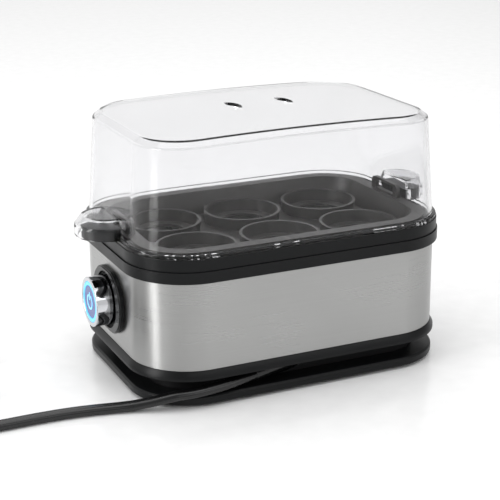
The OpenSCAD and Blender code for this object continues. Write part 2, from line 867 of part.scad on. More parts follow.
module lid() color([0.86, 0.88, 0.89, 0.35])
    difference() {
        union() {
            lid_shape(0, rim_z);
            slab(lid_proud, rim_z, flange_h);
            hood(-1, 0, rim_z);
            hood(1, 0, rim_z);
        }
        lid_shape(lid_t, rim_z - 1);
        hood(-1, lid_t, rim_z - 1);
        hood(1, lid_t, rim_z - 1);
        for (s = [-1, 1]) translate([vent_mid[0] + s * vent_gap / 2, vent_mid[1], slant_z])
            rotate([0, 0, vent_turn]) linear_extrude(lid_top - slant_z + 1) leaf();
    }

// ---- Cord ----

module cord_gland() color("#161617")
    gland_axis() {
        cylinder(r = gland_r, h = gland_in);
        translate([0, 0, gland_in - eps])
            cylinder(r1 = gland_r, r2 = gland_tip_r, h = gland_out + eps);
    }

module cord_lead() color("#141415")
    tube(smooth_route(lead_route, 2), cord_w, cord_t, 10);

module cord_tail() color("#141415")
    tube(smooth_route(tail_route, 2), cord_w, cord_t, 10);

module cord_coil() color("#141415")
    translate([coil_at[0], coil_at[1], 0]) difference() {
        cylinder(r = coil_r + coil_half, h = coil_h);
        translate([0, 0, -eps]) cylinder(r = coil_r - coil_half, h = coil_h + 2 * eps);
    }

module cord_tie() color("#26272a")
    translate([coil_at[0] + coil_r, coil_at[1] - tie_w / 2, 0])
        difference() {
            translate([-coil_half - tie_gap - tie_t, 0, 0])
                cube([2 * (coil_half + tie_gap + tie_t), tie_w, coil_h + tie_gap + tie_t]);
            translate([-coil_half - tie_gap, -eps, -eps])
                cube([2 * (coil_half + tie_gap), tie_w + 2 * eps, coil_h + tie_gap]);
        }

module plug_body() color("#171718")
    translate(plug_at) {
        rotate([0, 90, 0]) cylinder(r1 = gland_tip_r, r2 = plug_sleeve_r, h = plug_sleeve_l);
        translate([plug_sleeve_l - eps, 0, -plug_t / 2]) linear_extrude(plug_t)
            polygon([[0, -plug_neck / 2], [plug_waist, -plug_w / 2], [plug_l, -plug_face / 2],
                [plug_l, plug_face / 2], [plug_waist, plug_w / 2], [0, plug_neck / 2]]);
    }

module plug_pins() color("#c9cbcd")
    for (s = [-1, 1])
        translate(plug_at + [plug_sleeve_l + plug_l - eps, s * pin_gap / 2, 0])
            rotate([0, 90, 0]) {
                cylinder(d = pin_d, h = pin_l - 1);
                translate([0, 0, pin_l - 1 - eps]) cylinder(d1 = pin_d, d2 = pin_tip_d, h = 1);
            }

foot_pads();
base_plate();
base_screws();
cord_drum();
lower_housing();
housing_screws();
steel_band();
bezel_ring();
deck_ring();
dish_seal();
heating_dish();
heating_rod();
rod_strap();
strap_nuts();
thermostat();
thermal_fuse();
heat_shield();
terminal_block();
cord_clamp();
clamp_screws();
inner_lead();
live_wire();
neutral_wire();
surround();
surround_nut();
switch_bracket();
switch_body();
led_board();
leds();
return_spring();
button_barrel();
button_core();
light_ring();
button_cap();
power_mark();
egg_tray();
lid();
cord_gland();
cord_lead();
cord_coil();
cord_tail();
cord_tie();
plug_body();
plug_pins();
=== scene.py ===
# %% [markdown]
# # A six-egg steam cooker
# The maker's model gives every piece its size and place, and this script gives it its
# looks. It is read from top to bottom: first the camera and the mains lead, which settle
# what is seen, then the finishes, then the pieces from the table up, then the light.
# Everything is in metres. +Z is up, the length runs along X, the front faces -Y.

# %% Load the fixed frame
import math

import bpy
from mathutils import Matrix, Vector


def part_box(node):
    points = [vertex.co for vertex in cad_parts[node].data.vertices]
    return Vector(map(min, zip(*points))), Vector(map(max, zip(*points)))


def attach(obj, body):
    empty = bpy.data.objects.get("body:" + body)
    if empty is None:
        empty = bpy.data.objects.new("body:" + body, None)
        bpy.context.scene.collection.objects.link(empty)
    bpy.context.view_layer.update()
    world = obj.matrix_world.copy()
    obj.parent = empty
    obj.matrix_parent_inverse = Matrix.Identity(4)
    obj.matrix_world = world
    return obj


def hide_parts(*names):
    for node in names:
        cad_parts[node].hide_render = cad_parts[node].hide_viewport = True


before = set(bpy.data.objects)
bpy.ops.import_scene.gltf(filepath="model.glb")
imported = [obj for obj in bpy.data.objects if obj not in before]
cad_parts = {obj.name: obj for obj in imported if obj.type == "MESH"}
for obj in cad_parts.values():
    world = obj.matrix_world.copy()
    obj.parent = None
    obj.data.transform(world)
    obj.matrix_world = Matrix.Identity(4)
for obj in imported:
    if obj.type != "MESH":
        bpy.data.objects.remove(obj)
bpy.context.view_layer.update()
MM = 0.001

# %% [markdown]
# ## Sizes taken from the frame
# Every outline of this cooker, from the feet to the lid, is the same rounded rectangle
# grown or shrunk evenly, so its corner centres are shared. The steel band is the middle
# one: its box gives the half length and half width, and its corner radius fixes the rest.

# %% Outline and levels, in millimetres
def levels(node):
    low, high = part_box(node)
    return low[2] / MM, high[2] / MM


band_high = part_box("steel_band")[1]
HALF_L = band_high[0] / MM
HALF_W = band_high[1] / MM
CORNER = 32.5
CENTRE_X = HALF_L - CORNER
CENTRE_Y = HALF_W - CORNER
BAND_Z = levels("steel_band")[0]
BEZEL_Z = levels("bezel_ring")[1] - 6
DECK_Z = levels("dish_seal")[1]
RIM_Z = levels("lid")[0]
print("outline", HALF_L, HALF_W, "levels", BAND_Z, BEZEL_Z, DECK_Z, RIM_Z)

# %% [markdown]
# ## The camera
# A lens of about 100 mm from three quarters of a metre away keeps the upright edges almost
# parallel. It stands to the left of the front and looks down a little, and it is rolled by
# less than half a degree. It is aimed a little below and to the left of the middle, so
# that the start of the lead is in view.

# %% Camera
AZIMUTH, ELEVATION, ROLL = math.radians(-24.65), math.radians(18.2), math.radians(-0.4)
DISTANCE = 0.7393
LENS = 97.1
AIM_UP, AIM_LEFT, AIM_DOWN = 78.75, 5.57, 20.17

back = Vector((math.sin(AZIMUTH) * math.cos(ELEVATION),
               -math.cos(AZIMUTH) * math.cos(ELEVATION), math.sin(ELEVATION)))
right = Vector((math.cos(AZIMUTH), math.sin(AZIMUTH), 0))
up = back.cross(right)
target = Vector((0, 0, AIM_UP * MM)) - AIM_LEFT * MM * right - AIM_DOWN * MM * up
camera_data = bpy.data.cameras.new("camera")
camera_data.lens = LENS
camera_data.sensor_width = 36
camera = bpy.data.objects.new("camera", camera_data)
bpy.context.scene.collection.objects.link(camera)
rolled_right = right * math.cos(ROLL) + up * math.sin(ROLL)
rolled_up = up * math.cos(ROLL) - right * math.sin(ROLL)
camera.matrix_world = Matrix((
    (rolled_right.x, rolled_up.x, back.x, (target + back * DISTANCE).x),
    (rolled_right.y, rolled_up.y, back.y, (target + back * DISTANCE).y),
    (rolled_right.z, rolled_up.z, back.z, (target + back * DISTANCE).z),
    (0, 0, 0, 1)))
bpy.context.scene.camera = camera
print("camera at", tuple(round(v, 3) for v in camera.location))

# %% [markdown]
# ## The mains lead
# It is a flat two-core lead: two round cores side by side under one soft sheath, which
# leaves a shallow groove along each flat side. The route has three stretches: from the
# gland out of the groove and along the table, round the storage coil, and on to the plug.
# A section of two arcs is swept along the route, so the groove is real. Where the lead
# lies on the table, its middle is half its thickness up, and a hair more.

# %% Route of the lead, in millimetres
LEAD_WIDTH, LEAD_THICK = 6.8, 4.6
LYING = 2.35
LEAD = [
    (-30.4, -55.9, 10.4), (-38, -58.2, 10.2), (-46, -59.8, 9.8), (-54, -60.7, 9.3),
    (-62, -60.8, 8.8), (-68, -60.2, 8.4), (-74, -58.6, 7.9), (-80, -56.2, 6.4),
    (-86, -53.6, 4.8), (-92, -51, 3.5), (-98, -48.8, 2.7), (-105, -46.8, 2.4),
    (-113, -45, LYING), (-121, -43.6, LYING), (-131, -42.5, LYING), (-143, -42, LYING),
    (-157, -42, LYING), (-172, -42, LYING), (-187, -42, LYING), (-202, -42, LYING)]
TAIL = [
    (-252.3, 4, 12.2), (-251, 13, 10), (-248.4, 21.5, 7), (-244, 30, 4.4),
    (-238, 38, 3.2), (-231, 44.5, 3.6), (-223, 48.6, 5.6), (-214, 50, 7)]
COIL_X, COIL_Y, COIL_R = -215, -4.5, 37.5
COIL_TURNS, COIL_RISE, COIL_STEPS = 2.25, 4.7, 40

coil = []
for step in range(int(COIL_TURNS * COIL_STEPS) + 1):
    turn = step / COIL_STEPS
    angle = math.radians(-90 - 360 * turn)
    coil.append((COIL_X + COIL_R * math.cos(angle), COIL_Y + COIL_R * math.sin(angle),
                 LYING + COIL_RISE * turn))
route = [Vector(p) * MM for p in LEAD + coil + TAIL]
print("route points", len(route))


# %% A smooth line through the points
def smooth_line(points, steps):
    """Catmull-Rom curve through every point."""
    line = []
    last = len(points) - 1
    for i in range(last):
        a = points[i - 1] if i else 2 * points[0] - points[1]
        b, c = points[i], points[i + 1]
        d = points[i + 2] if i + 2 <= last else 2 * points[last] - points[last - 1]
        for step in range(steps):
            t = step / steps
            line.append(0.5 * (2 * b + (c - a) * t + (2 * a - 5 * b + 4 * c - d) * t * t
                               + (3 * b - a - 3 * c + d) * t ** 3))
    line.append(points[last])
    return line


line = smooth_line(route, steps=3)


# %% Sweep the section along the line
def sweep(name, line, section):
    """A closed tube: the section's first axis stays level, the second stands up."""
    vertices, faces = [], []
    count = len(section)
    for i, point in enumerate(line):
        ahead = (line[min(i + 1, len(line) - 1)] - line[max(i - 1, 0)]).normalized()
        side = Vector((0, 0, 1)).cross(ahead).normalized()
        above = ahead.cross(side)
        vertices += [point + side * x + above * y for x, y in section]
    for i in range(len(line) - 1):
        for k in range(count):
            a, b = i * count + k, i * count + (k + 1) % count
            faces.append((a, a + count, b + count, b))
    faces.append(tuple(range(count)))
    faces.append(tuple(reversed(range(len(vertices) - count, len(vertices)))))
    mesh = bpy.data.meshes.new(name)
    mesh.from_pydata(vertices, [], faces)
    piece = bpy.data.objects.new(name, mesh)
    bpy.context.scene.collection.objects.link(piece)
    return piece


ARC_STEPS = 12
GROOVE_DEGREES = 6
core_r = LEAD_THICK / 2
core_x = LEAD_WIDTH / 2 - core_r
reach = math.degrees(math.acos(-core_x / core_r)) - GROOVE_DEGREES
section = []
for side in (1, -1):
    for k in range(ARC_STEPS + 1):
        angle = math.radians(-reach + 2 * reach * k / ARC_STEPS + (0 if side > 0 else 180))
        section.append(((side * core_x + core_r * math.cos(angle)) * MM,
                        core_r * math.sin(angle) * MM))
lead = sweep("mains_lead", line, section)
print(lead.name, len(lead.data.polygons), "faces")

# %% [markdown]
# ## Helpers for the finishes
# Colours are written as a painter reads them off a card, in sRGB hex, and one function
# turns them to the linear light that Blender works in. One more function adds a node,
# sets its values and links it, so that each finish below reads as a short list.

# %% Colours and nodes
def linear(text):
    """#RRGGBB to linear RGBA."""
    parts = [int(text[i:i + 2], 16) / 255 for i in (1, 3, 5)]
    return tuple(c / 12.92 if c <= 0.04045 else ((c + 0.055) / 1.055) ** 2.4
                 for c in parts) + (1.0,)


def node(material, kind, links=(), **settings):
    """Add a node; settings are its own properties or inputs; links are (input, socket)."""
    made = material.node_tree.nodes.new(kind)
    for name, value in settings.items():
        label = name.replace("_", " ").capitalize()
        if hasattr(made, name):
            setattr(made, name, value)
        else:
            key = next(k.name for k in made.inputs if k.name.lower() == label.lower())
            made.inputs[key].default_value = value
    for name, socket in links:
        material.node_tree.links.new(socket, made.inputs[name])
    return made


def finish(name, colour, roughness, metallic=0.0, **more):
    """A new material whose Principled shader has these values."""
    material = bpy.data.materials.new(name)
    material.use_nodes = True
    shader = material.node_tree.nodes["Principled BSDF"]
    shader.inputs["Base Color"].default_value = linear(colour)
    shader.inputs["Roughness"].default_value = roughness
    shader.inputs["Metallic"].default_value = metallic
    for key, value in more.items():
        shader.inputs[key.replace("_", " ")].default_value = value
    return material, shader


def link(material, socket, shader, name):
    material.node_tree.links.new(socket, shader.inputs[name])


# %% A grain in real millimetres
def grain(material, size, stretch=(1, 1, 1), detail=3.0):
    """Noise whose grains are size millimetres across, longer where stretch is smaller."""
    place = node(material, "ShaderNodeTexCoord")
    scaled = node(material, "ShaderNodeMapping", [("Vector", place.outputs["Object"])])
    scaled.inputs["Scale"].default_value = [s / (size * MM) for s in stretch]
    return node(material, "ShaderNodeTexNoise", [("Vector", scaled.outputs["Vector"])],
                scale=1.0, detail=detail)


def spread(material, socket, low, high):
    """Noise to a range of values."""
    return node(material, "ShaderNodeMapRange", [("Value", socket)], from_min=0.3,
                from_max=0.7, to_min=low, to_max=high)


def relief(material, shader, socket, height):
    """A bump whose full height is given in millimetres."""
    bump = node(material, "ShaderNodeBump", [("Height", socket)], strength=1.0,
                distance=height * MM)
    link(material, bump.outputs["Normal"], shader, "Normal")


def tint(material, shader, socket, dark, light):
    """Colour between two hex values, driven by a noise."""
    ramp = node(material, "ShaderNodeValToRGB", [("Fac", socket)])
    ramp.color_ramp.elements[0].position, ramp.color_ramp.elements[1].position = 0.3, 0.7
    ramp.color_ramp.elements[0].color, ramp.color_ramp.elements[1].color = (
        linear(dark), linear(light))
    link(material, ramp.outputs["Color"], shader, "Base Color")


# %% [markdown]
# ## Brushed stainless steel
# The band is type 430 stainless sheet, brushed with a belt along its length. The belt leaves
# scratches a few tenths of a millimetre apart and several centimetres long, all level. They
# spread each reflection up and down, so the steel shows soft upright bands of light with
# fine level lines in them. The lines are drawn 0.4 mm apart, a little coarser than real.

# %% Brushed steel
def brushed_steel(name, colour_dark, colour_light, roughness):
    """Metal with level scratches that blur each reflection upwards and downwards."""
    material, shader = finish(name, colour_light, roughness, metallic=1.0)
    shader.inputs["Anisotropic"].default_value = 0.7
    shader.inputs["Anisotropic Rotation"].default_value = 0.25
    level = node(material, "ShaderNodeTangent", direction_type="RADIAL", axis="Z")
    link(material, level.outputs["Tangent"], shader, "Tangent")
    lines = grain(material, 0.4, stretch=(0.008, 0.008, 1), detail=5)
    broad = grain(material, 30, stretch=(0.6, 0.6, 1), detail=2)
    tint(material, shader, lines.outputs["Fac"], colour_dark, colour_light)
    both = node(material, "ShaderNodeMath", operation="ADD")
    material.node_tree.links.new(lines.outputs["Fac"], both.inputs[0])
    material.node_tree.links.new(broad.outputs["Fac"], both.inputs[1])
    rough = node(material, "ShaderNodeMapRange", [("Value", both.outputs["Value"])],
                 from_min=0.7, from_max=1.3, to_min=roughness - 0.05, to_max=roughness + 0.06)
    link(material, rough.outputs["Result"], shader, "Roughness")
    relief(material, shader, lines.outputs["Fac"], 0.0012)
    return material


STEEL = brushed_steel("stainless_430_belt_brushed", "#A0A09F", "#A3A3A2", 0.3)
print("finish", STEEL.name)

# %% [markdown]
# ## Moulded plastics
# The black rings and the base are injection-moulded polypropylene from a spark-eroded mould,
# which leaves a fine even grain of about 0.35 mm and a satin sheen. The surround round the
# button comes from a polished mould. The tray is a warm dark grey with a softer sheen.
# Each has a little uneven gloss, as from handling.

# %% Plastics
def moulded(name, dark, light, roughness, grain_size=0.35, grain_height=0.008, **more):
    """Plastic or rubber between two shades, with a grain in millimetres."""
    material, shader = finish(name, light, roughness, **more)
    fine = grain(material, grain_size, detail=2)
    broad = grain(material, 22, detail=3)
    tint(material, shader, broad.outputs["Fac"], dark, light)
    rough = spread(material, broad.outputs["Fac"], roughness - 0.04, roughness + 0.05)
    link(material, rough.outputs["Result"], shader, "Roughness")
    relief(material, shader, fine.outputs["Fac"], grain_height)
    return material


BLACK = moulded("polypropylene_black_spark_eroded", "#0D0E0F", "#121314", 0.34,
                Specular_IOR_Level=0.18)
GROOVE = moulded("polypropylene_black_groove", "#0F0F10", "#141415", 0.5,
                 Specular_IOR_Level=0.2)
GLOSS_BLACK = moulded("abs_black_polished", "#0B0B0C", "#0E0F10", 0.22, grain_height=0.001,
                      Specular_IOR_Level=0.25)
TRAY = moulded("polypropylene_grey_tray", "#302E2C", "#383634", 0.38)
RUBBER = moulded("rubber_black_feet", "#161616", "#1E1E1E", 0.75, 0.6, 0.02)
SHEATH = moulded("pvc_black_lead_sheath", "#0A0A0B", "#0E0E0F", 0.26, 0.5, 0.003)
PLUG = moulded("pvc_black_moulded_plug", "#161617", "#1B1B1D", 0.45, 0.4, 0.012)
NYLON = moulded("nylon_cream_terminal_block", "#D3CBB6", "#DED7C4", 0.45)
PHENOLIC = moulded("phenolic_brown_thermostat", "#38281F", "#453126", 0.3)
SLEEVE = moulded("glass_fibre_sleeve", "#C9C0A8", "#DDD5C0", 0.85, 0.8, 0.08)
SEAL = moulded("silicone_red_seal", "#84281F", "#963027", 0.5, 0.5, 0.006)
BROWN_WIRE = moulded("pvc_brown_insulation", "#63391F", "#6F4226", 0.35)
BLUE_WIRE = moulded("pvc_blue_insulation", "#254C86", "#2D5796", 0.35)
BOARD = moulded("fibreglass_board_green", "#1F5A38", "#27693F", 0.3, 1.2, 0.01)
LENS = moulded("epoxy_clear_lamp", "#DCEBFA", "#F0F8FF", 0.15)
print("plastics end with", LENS.name)

# %% [markdown]
# ## Metals and lit plastics
# The button's barrel is plated with bright chrome, which mirrors the studio in hard bands.
# Screws are zinc plated, and the plug's pins nickel plated. The ring round the button is
# a diffuser lit by four lamps behind it. It glows pale blue and lights the cap inside it.

# %% Metals
def plated(name, colour, roughness):
    """Bare or plated metal with slightly uneven gloss."""
    material, shader = finish(name, colour, roughness, metallic=1.0)
    marks = grain(material, 3, detail=4)
    rough = spread(material, marks.outputs["Fac"], roughness * 0.8, roughness * 1.3)
    link(material, rough.outputs["Result"], shader, "Roughness")
    return material


CHROME = plated("chrome_bright_plated", "#CBCCCF", 0.05)
ZINC = plated("steel_zinc_plated", "#B4B6B8", 0.32)
NICKEL = plated("brass_nickel_plated", "#C9C6BE", 0.22)
ALUMINIUM = plated("aluminium_rolled_sheet", "#C6C7C9", 0.28)
SHEATH_METAL = plated("steel_heat_tinted_rod", "#6E6A63", 0.42)
SPRING = plated("steel_drawn_spring_wire", "#B9BABC", 0.25)
DISH_STEEL = plated("stainless_304_deep_drawn", "#A8A8A7", 0.3)
print("metals end with", DISH_STEEL.name)


# %% Lit plastics
def lit(name, colour, glow, strength, edge=None):
    """Milky plastic with a light behind it."""
    material, shader = finish(name, colour, 0.25)
    haze = grain(material, 2.5, detail=2)
    tint(material, shader, haze.outputs["Fac"], edge or colour, colour)
    shader.inputs["Emission Color"].default_value = linear(glow)
    shader.inputs["Emission Strength"].default_value = strength
    return material


LIT_RING = lit("polycarbonate_diffuser_lit", "#5FB0E0", "#4FB4F0", 0.7)
LIT_CAP = lit("polycarbonate_cap_violet", "#3E4A7A", "#5A70B8", 0.25, "#4A5580")
LIT_MARK = lit("polycarbonate_mark_lit", "#8CC8EE", "#7FCCFF", 0.55)
print("lit plastics", LIT_RING.name, LIT_CAP.name, LIT_MARK.name)

# %% [markdown]
# ## Clear polystyrene
# The lid is moulded from general-purpose polystyrene: clear, hard and glossy. Light bends in
# its thick edges, which is why a clear lid shows as thin grey outlines. The plastic's true
# refractive index is 1.59; a lower one is set here, because at 1.59 light is trapped in
# the edges and they turn black. The gloss varies slightly, as on a lid wiped by hand.

# %% Clear plastic
def clear_plastic(name):
    """Clear hard plastic that bends light."""
    material, shader = finish(name, "#F6F6F7", 0.05, IOR=1.3)
    shader.inputs["Transmission Weight"].default_value = 1.0
    haze = grain(material, 40, detail=2)
    rough = spread(material, haze.outputs["Fac"], 0.04, 0.06)
    link(material, rough.outputs["Result"], shader, "Roughness")
    return material


CLEAR = clear_plastic("polystyrene_clear_moulded")
print("finishes made:", len(bpy.data.materials))

# %% [markdown]
# ## Modelling helpers
# Most pieces start as a copy of the maker's mesh. It is loose triangles, so it is merged and
# its flat faces are joined, and then a Bevel modifier rounds every edge, because no real
# edge is knife sharp and a rounded one catches a line of light.

# %% Selecting and finishing
MERGE = 0.002


def deselect():
    """Leave edit mode and select nothing."""
    if bpy.context.object and bpy.context.object.mode != "OBJECT":
        bpy.ops.object.mode_set(mode="OBJECT")
    bpy.ops.object.select_all(action="DESELECT")


def only(piece):
    """Select one piece and make it the active one."""
    deselect()
    piece.select_set(True)
    bpy.context.view_layer.objects.active = piece


def settle(piece, body, material, replaced=(), smooth=35, flip=True):
    """Merge, point the faces outwards, shade, and tie the piece to its body."""
    only(piece)
    bpy.ops.object.transform_apply(location=True, rotation=True, scale=True)
    for modifier in list(piece.modifiers):
        bpy.ops.object.modifier_apply(modifier=modifier.name)
    bpy.ops.object.mode_set(mode="EDIT")
    bpy.ops.mesh.select_all(action="SELECT")
    bpy.ops.mesh.remove_doubles(threshold=MERGE * MM)
    if flip:
        bpy.ops.mesh.normals_make_consistent(inside=False)
    bpy.ops.object.mode_set(mode="OBJECT")
    bpy.ops.object.shade_smooth_by_angle(angle=math.radians(smooth))
    piece.modifiers.new("even_shading", "WEIGHTED_NORMAL").keep_sharp = True
    bpy.ops.object.modifier_apply(modifier="even_shading")
    piece.data.materials.clear()
    piece.data.materials.append(material)
    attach(piece, body)
    if replaced:
        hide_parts(*replaced)
    print(piece.name, len(piece.data.polygons), "faces")
    return piece


# %% A softened copy of a maker's piece
COPY_MERGE = 0.004
FLAT_DEGREES = 1.5
EDGE_DEGREES = 30


def softened(name, width, segments=2):
    """A merged copy of a CAD node with its edges rounded by a Bevel modifier."""
    source = bpy.data.objects[name]
    piece = bpy.data.objects.new(name + "_soft", source.data.copy())
    bpy.context.scene.collection.objects.link(piece)
    only(piece)
    bpy.ops.object.mode_set(mode="EDIT")
    bpy.ops.mesh.select_all(action="SELECT")
    bpy.ops.mesh.remove_doubles(threshold=COPY_MERGE * MM)
    bpy.ops.mesh.dissolve_limited(angle_limit=math.radians(FLAT_DEGREES))
    bpy.ops.object.mode_set(mode="OBJECT")
    bevel = piece.modifiers.new("bevel", "BEVEL")
    bevel.width, bevel.segments = width * MM, segments
    bevel.limit_method, bevel.angle_limit = "ANGLE", math.radians(EDGE_DEGREES)
    bevel.harden_normals = False
    return piece


def renew(name, width, body, material, segments=2):
    """Put a softened copy, with its edges rounded by width, in the maker's piece's place."""
    return settle(softened(name, width, segments), body, material, [name])


# %% [markdown]
# ## The lead's finish
# The lead replaces the maker's plain tubes and the coil's solid.

# %% Dress the lead
only(lead)
bpy.ops.object.shade_smooth_by_angle(angle=math.radians(40))
lead.data.materials.append(SHEATH)
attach(lead, "cooker")
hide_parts("cord_lead", "cord_coil", "cord_tail")
print("the lead wears", SHEATH.name)

# %% Gland, plug, pins and tie
gland = renew("cord_gland", 0.4, "cooker", SHEATH)
plug = renew("plug_body", 1.6, "cooker", PLUG, segments=4)
pins = renew("plug_pins", 0.2, "cooker", NICKEL)
tie = renew("cord_tie", 0.25, "cooker", PLUG)

# %% [markdown]
# ## Base plate, groove and lower housing
# The base plate is a shallow moulding with softly rounded rims, which stands a millimetre
# off the table on four rubber feet. The lead winds into the deep groove above it.

# %% Base
renew("base_plate", 0.5, "cooker", BLACK)
renew("foot_pads", 0.4, "cooker", RUBBER)
renew("cord_drum", 0.3, "cooker", GROOVE)
renew("lower_housing", 0.35, "cooker", BLACK)

# %% [markdown]
# ## The steel band and the rings on it
# The band is one strip of sheet, bent round and welded at the back, so its section is a thin
# upright line. The bezel ring overhangs it by 2.4 mm and hides its raw top edge. The deck
# ring sits on the bezel ring, a little narrower, which leaves the fine dark line between
# the two.

# %% Steel band
renew("steel_band", 0.12, "cooker", STEEL)

# %% Bezel and deck rings
renew("bezel_ring", 0.5, "cooker", BLACK, segments=3)
renew("deck_ring", 0.5, "cooker", BLACK, segments=3)

# %% [markdown]
# ## The push button
# A chrome barrel slides in the oval surround. Its face is a lit ring with a satin cap and a
# generic standby mark in it.

# %% Button
renew("surround", 0.5, "cooker", GLOSS_BLACK, segments=3)
renew("button_barrel", 0.5, "button", CHROME, segments=4)
renew("light_ring", 0.15, "button", LIT_RING)
renew("button_cap", 0.3, "button", LIT_CAP, segments=3)

# %% [markdown]
# ## The water dish
# The dish is deep-drawn from one disc of steel, so its floor runs into its walls in soft
# bends and its surface is a plain satin. It shows when the tray is lifted out.

# %% Water dish
renew("heating_dish", 0.4, "cooker", DISH_STEEL, segments=3)

# %% [markdown]
# ## The egg tray
# The tray is one moulding: a rim that hangs on the dish's edge, a sunk floor with six
# round collars that hold the eggs upright, and an upright grip at each end.

# %% Tray
renew("egg_tray", 0.3, "tray", TRAY)

# %% [markdown]
# ## The lid
# The lid is one clear moulding: leaning walls on a narrow flange, a slanted edge under a
# slightly crowned top, a hollow hood at each end to lift it by, and two steam slots. It
# is an outer solid less an inner one, which is the space that a mould's core fills, so
# every wall has its real thickness and light bends at both of its faces.

# Each solid starts as a plane whose corners are rounded with a vertex bevel. It is extruded
# from level to level, and each new loop is moved straight in or out, so the corner arcs
# keep their shared centres and every fillet is real geometry.

# %% Fillets of a section
def filleted(points, steps=4):
    """Replace each inner corner of (grow, height, radius) that has a radius by an arc."""
    result = []
    last = len(points) - 1
    for i, (x, z, radius) in enumerate(points):
        here = Vector((x, z))
        if radius == 0 or i in (0, last):
            result.append((x, z))
            continue
        before = (Vector(points[i - 1][:2]) - here).normalized()
        after = (Vector(points[i + 1][:2]) - here).normalized()
        half = before.angle(after) / 2
        run = radius / math.tan(half)
        middle = here + (before + after).normalized() * radius / math.sin(half)
        start, end = here + before * run - middle, here + after * run - middle
        swing = start.angle(end)
        for step in range(steps + 1):
            t = step / steps
            mixed = (start * math.sin((1 - t) * swing) + end * math.sin(t * swing)) / (
                math.sin(swing))
            result.append(tuple(middle + mixed))
    return result


# %% A solid along the outline
CORNER_SEGMENTS = 24


def move_loop(piece, grow):
    """Put the selected loop at this distance from the steel's outline."""
    bpy.ops.object.mode_set(mode="OBJECT")
    for vertex in piece.data.vertices:
        if vertex.select:
            x, y, z = vertex.co / MM
            hub = Vector((math.copysign(CENTRE_X, x), math.copysign(CENTRE_Y, y)))
            arm = (Vector((x, y)) - hub).normalized() * (CORNER + grow)
            vertex.co = Vector((hub.x + arm.x, hub.y + arm.y, z)) * MM
    bpy.ops.object.mode_set(mode="EDIT")


def solid(name, section):
    """Extrude the outline through the section, from its first point up to its last."""
    deselect()
    grow, z = section[0]
    bpy.ops.mesh.primitive_plane_add(size=2, location=(0, 0, z * MM))
    piece = bpy.context.object
    piece.name = name
    piece.scale = ((HALF_L + grow) * MM, (HALF_W + grow) * MM, 1)
    bpy.ops.object.transform_apply(location=True, scale=True)
    bpy.ops.object.mode_set(mode="EDIT")
    bpy.ops.mesh.select_all(action="SELECT")
    bpy.ops.mesh.bevel(offset=(CORNER + grow) * MM, segments=CORNER_SEGMENTS,
                       affect="VERTICES", clamp_overlap=False)
    move_loop(piece, grow)
    for (_, z0), (g1, z1) in zip(section, section[1:]):
        rise = (0, 0, (z1 - z0) * MM)
        bpy.ops.mesh.extrude_region_move(TRANSFORM_OT_translate={"value": rise})
        move_loop(piece, g1)
    bpy.ops.mesh.select_all(action="SELECT")
    bpy.ops.mesh.normals_make_consistent(inside=False)
    bpy.ops.object.mode_set(mode="OBJECT")
    return piece


# %% Lid: outer and inner solids
LID_TOP = levels("lid")[1]
LID_WALL = 1.8
SLANT_Z = LID_TOP - 4.8
SLANT_TOP = LID_TOP - 1.8
SEAT_Z = DECK_Z + 6.5
FLANGE = 2
shell = solid("lid_shell", filleted([
    (1.2, SEAT_Z, 0.8), (1.2, SEAT_Z + FLANGE, 0.8), (-0.65, SEAT_Z + FLANGE, 0.7),
    (-4.6, SLANT_Z, 1.3), (-8.6, SLANT_TOP, 1.2), (-16, SLANT_TOP, 0)]))
hollow = solid("lid_hollow", filleted([
    (-2.1, SEAT_Z - 1, 0), (-2.3, SEAT_Z, 0), (-6.4, SLANT_Z - 0.9, 0.8),
    (-10, SLANT_TOP - LID_WALL, 0.8), (-17, SLANT_TOP - LID_WALL, 0)]))
print("lid from", SEAT_Z, "to", LID_TOP, "mm")

# %% [markdown]
# ## The lid's hoods
# A hood at each end covers the tray's grip and gives fingers a hold. It is a drum whose
# upper edge is drawn in to a blunt cone. Extruding the drum's top face and shrinking the
# new face makes the cone, and a union joins the drum to the lid before the inside is cut.

# %% One drum, and what a cutter does
HOOD_SIDES, HOOD_BEVEL_DEGREES = 96, 20


def hood(name, x, radius, foot, straight, top, top_radius, soft):
    """A drum at x, upright from foot to straight, then a cone to top; soft rounds it."""
    deselect()
    bpy.ops.mesh.primitive_cylinder_add(
        vertices=HOOD_SIDES, radius=radius * MM, depth=(straight - foot) * MM,
        location=(x * MM, 0, (straight + foot) / 2 * MM))
    piece = bpy.context.object
    piece.name = name
    bpy.ops.object.transform_apply(location=True)
    bpy.ops.object.mode_set(mode="EDIT")
    bpy.ops.mesh.select_all(action="DESELECT")
    bpy.ops.object.mode_set(mode="OBJECT")
    for face in piece.data.polygons:
        face.select = face.normal.z > 0.9
    bpy.ops.object.mode_set(mode="EDIT")
    rise = (0, 0, (top - straight) * MM)
    bpy.ops.mesh.extrude_region_move(TRANSFORM_OT_translate={"value": rise})
    share = top_radius / radius
    bpy.ops.transform.resize(value=(share, share, 1), center_override=(x * MM, 0, top * MM))
    bpy.ops.object.mode_set(mode="OBJECT")
    round_off = piece.modifiers.new("round", "BEVEL")
    round_off.width, round_off.segments = soft * MM, 4
    round_off.limit_method = "ANGLE"
    round_off.angle_limit = math.radians(HOOD_BEVEL_DEGREES)
    only(piece)
    bpy.ops.object.modifier_apply(modifier="round")
    return piece


def boolean(piece, other, operation):
    """Join, cut or intersect the piece with another, which is then removed."""
    cut = piece.modifiers.new("cut", "BOOLEAN")
    cut.operation, cut.object, cut.solver = operation, other, "EXACT"
    only(piece)
    bpy.ops.object.modifier_apply(modifier="cut")
    bpy.data.objects.remove(other)


